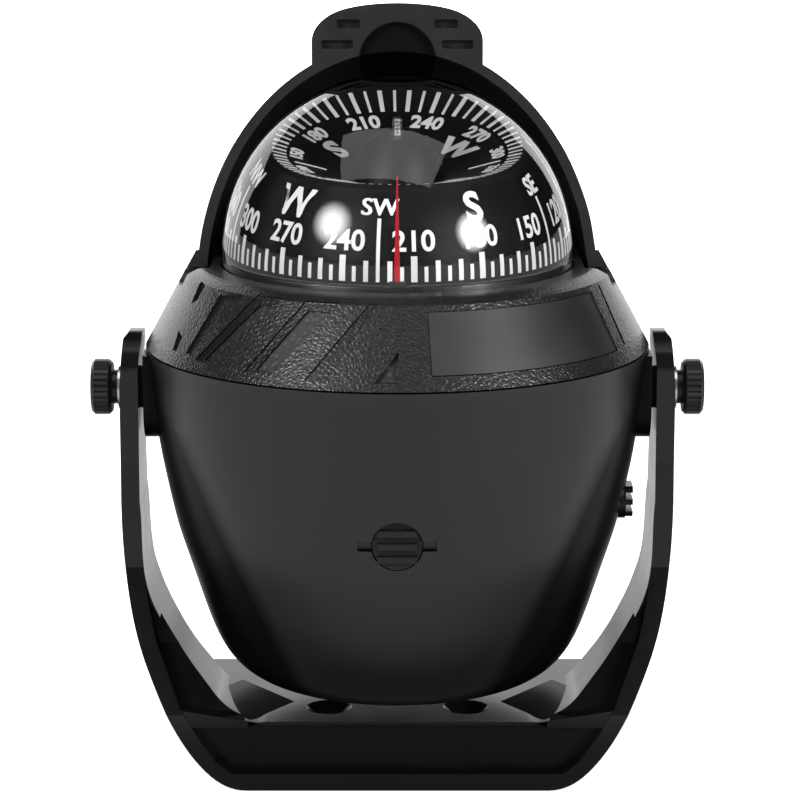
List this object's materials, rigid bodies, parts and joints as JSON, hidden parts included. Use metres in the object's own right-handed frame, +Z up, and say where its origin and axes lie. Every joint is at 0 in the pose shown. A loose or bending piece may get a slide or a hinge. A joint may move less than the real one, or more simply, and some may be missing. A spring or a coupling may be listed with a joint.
{
  "type": "binnacle compass",
  "caption": "Bracket-mounted marine ball compass with a clear dome, movable hood, tilting housing and two compensators.",
  "frame": {"origin": "centre of the four mounting screws on the bracket underside", "axes": "+Z up through the dome, +Y to the back, +X to the right seen from the front"},
  "size_m": [0.0926, 0.077, 0.1178],
  "materials": {
    "bracket_plastic": "satin black",
    "housing_plastic": "satin dark grey",
    "bezel_plastic": "fine grained dark grey",
    "panel_gloss": "gloss black",
    "hood_plastic": "satin black",
    "knob_plastic": "satin black",
    "washer_plastic": "matt black",
    "clear_dome": "clear",
    "seal_rubber": "matt black",
    "card_black": "matt black with white print",
    "float_grey": "matt dark grey",
    "gimbal_black": "satin black",
    "lubber_red": "red",
    "brass": "machined",
    "steel": "stainless",
    "magnet_steel": "plated"
  },
  "bodies": {
    "bracket": {"mounting_bracket": "bracket_plastic", "serrated_washers": "washer_plastic"},
    "housing": {"lower_housing": "housing_plastic", "bottom_cover": "housing_plastic", "cover_screws": "steel", "bezel_ring": "bezel_plastic", "bezel_panel": "panel_gloss", "bezel_screws": "steel", "capsule_screws": "steel", "dome": "clear_dome", "dome_seal": "seal_rubber", "capsule_base": "gimbal_black", "expansion_diaphragm": "seal_rubber", "diaphragm_retainer": "gimbal_black", "retainer_screws": "steel", "fill_plug": "brass", "roll_pins": "steel", "thread_inserts": "brass", "hood_pins": "steel"},
    "right_clamp": {"captive_washer_right": "steel"},
    "left_clamp": {"captive_washer_left": "steel"},
    "right_screw": {"thumbscrew_right": "knob_plastic"},
    "left_screw": {"thumbscrew_left": "knob_plastic"},
    "gimbal": {"gimbal_ring": "gimbal_black", "pitch_pins": "steel", "lubber_line": "lubber_red"},
    "cradle": {"card_cradle": "gimbal_black", "pivot_pin": "steel", "balance_weight": "brass"},
    "card": {"card_skirt": "card_black", "card_dial": "card_black", "card_float": "float_grey", "card_stud": "steel", "pivot_cup": "brass", "card_magnets": "magnet_steel"},
    "hood": {"hood": "hood_plastic"},
    "front_adjuster": {"front_compensator": "knob_plastic", "front_compensator_magnets": "magnet_steel", "front_compensator_seal": "seal_rubber"},
    "side_adjuster": {"side_compensator": "knob_plastic", "side_compensator_magnets": "magnet_steel", "side_compensator_seal": "seal_rubber"}
  },
  "joints": [
    {"name": "housing_tilt", "type": "hinge", "parent": "bracket", "child": "housing", "pos_m": [0, 0, 0.0604], "axis": [1, 0, 0], "range_deg": [-25, 25]},
    {"name": "right_clamp_slide", "type": "slide", "parent": "housing", "child": "right_clamp", "axis": [1, 0, 0], "range_m": [0, 0.0014]},
    {"name": "right_screw_spin", "type": "hinge", "parent": "right_clamp", "child": "right_screw", "pos_m": [0.045, 0, 0.0604], "axis": [1, 0, 0], "range_deg": [0, 720]},
    {"name": "left_clamp_slide", "type": "slide", "parent": "housing", "child": "left_clamp", "axis": [-1, 0, 0], "range_m": [0, 0.0014]},
    {"name": "left_screw_spin", "type": "hinge", "parent": "left_clamp", "child": "left_screw", "pos_m": [-0.045, 0, 0.0604], "axis": [-1, 0, 0], "range_deg": [0, 720]},
    {"name": "gimbal_roll", "type": "hinge", "parent": "housing", "child": "gimbal", "pos_m": [0, 0, 0.0784], "axis": [0, 1, 0], "range_deg": [-12, 12]},
    {"name": "cradle_pitch", "type": "hinge", "parent": "gimbal", "child": "cradle", "pos_m": [0, 0, 0.0784], "axis": [1, 0, 0], "range_deg": [-12, 12]},
    {"name": "card_turn", "type": "hinge", "parent": "cradle", "child": "card", "pos_m": [0, 0, 0.0874], "axis": [0, 0, 1], "continuous": true},
    {"name": "hood_swing", "type": "hinge", "parent": "housing", "child": "hood", "pos_m": [0, 0.002, 0.0754], "axis": [1, 0, 0], "range_deg": [0, 55]},
    {"name": "front_compensator_turn", "type": "hinge", "parent": "housing", "child": "front_adjuster", "pos_m": [0, -0.034, 0.0444], "axis": [0, -1, 0], "continuous": true},
    {"name": "side_compensator_turn", "type": "hinge", "parent": "housing", "child": "side_adjuster", "pos_m": [0.034, 0, 0.0429], "axis": [1, 0, 0], "continuous": true}
  ],
  "couplings": [
    {"joint": "right_screw_spin", "follows": "right_clamp_slide", "rad_per_m": 8976},
    {"joint": "left_screw_spin", "follows": "left_clamp_slide", "rad_per_m": 8976}
  ]
}
